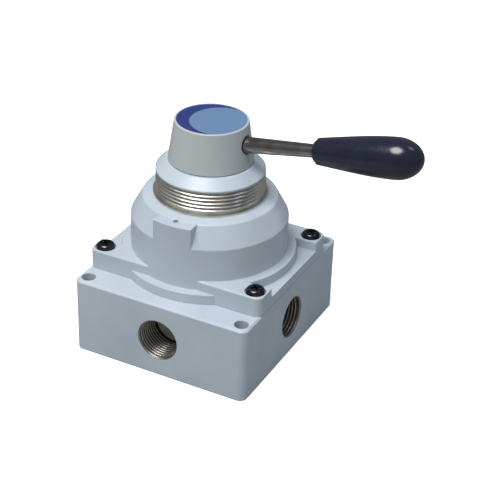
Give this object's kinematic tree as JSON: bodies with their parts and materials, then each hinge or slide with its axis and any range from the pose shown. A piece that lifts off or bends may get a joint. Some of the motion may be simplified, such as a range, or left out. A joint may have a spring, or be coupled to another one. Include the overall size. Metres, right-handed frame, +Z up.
{
  "type": "hand lever air valve",
  "caption": "Four-way rotary air valve with side ports, a round panel-thread neck and a grip lever that turns between detents.",
  "frame": {"origin": "on the spindle axis, in the plane of the mounting face under the body", "axes": "+Z up along the spindle axis, +X along the lever in its middle position, -Y towards the index pad on the bonnet"},
  "size_m": [0.1209, 0.08, 0.1017],
  "materials": {
    "painted_casting": "satin grey-blue paint on die casting",
    "hub_paint": "satin warm grey paint",
    "thread_metal": "turned",
    "black_screw": "black oxide",
    "label_film": "printed film, two blues",
    "lever_steel": "polished",
    "grip_plastic": "glossy moulded",
    "ground_steel": "ground",
    "lapped_steel": "lapped",
    "spring_steel": "drawn",
    "ball_steel": "ground and polished",
    "bearing_bronze": "sintered",
    "seal_rubber": "moulded",
    "bearing_plastic": "moulded"
  },
  "bodies": {
    "housing": {"valve_body": "painted_casting", "bonnet": "painted_casting", "bonnet_screws": "black_screw", "port_plate": "lapped_steel", "port_seals": "seal_rubber", "plate_dowels": "ground_steel", "body_seal": "seal_rubber", "detent_ring": "ground_steel", "detent_ring_pins": "ground_steel", "stop_pin": "ground_steel", "thrust_washer": "bearing_plastic", "spindle_bush": "bearing_bronze", "panel_thread_sleeve": "thread_metal", "neck_collar": "painted_casting"},
    "lever": {"rotary_disc": "lapped_steel", "disc_spring": "spring_steel", "spindle": "ground_steel", "spindle_oring": "seal_rubber", "detent_spring_back": "spring_steel", "detent_spring_front": "spring_steel", "lever_hub": "hub_paint", "hub_screw": "black_screw", "label_disc": "label_film", "lever_rod": "lever_steel", "grip": "grip_plastic"},
    "back_ball": {"detent_ball_back": "ball_steel"},
    "front_ball": {"detent_ball_front": "ball_steel"}
  },
  "joints": [
    {"name": "lever_turn", "type": "hinge", "parent": "housing", "child": "lever", "pos_m": [0, 0, 0.04], "axis": [0, 0, 1], "range_deg": [-45, 45]},
    {"name": "back_ball_slide", "type": "slide", "parent": "lever", "child": "back_ball", "axis": [0, 1, 0], "range_m": [0, 0.0007], "stiffness_N_per_m": 500, "springref_m": 0.004},
    {"name": "front_ball_slide", "type": "slide", "parent": "lever", "child": "front_ball", "axis": [0, -1, 0], "range_m": [0, 0.0007], "stiffness_N_per_m": 500, "springref_m": 0.004}
  ]
}
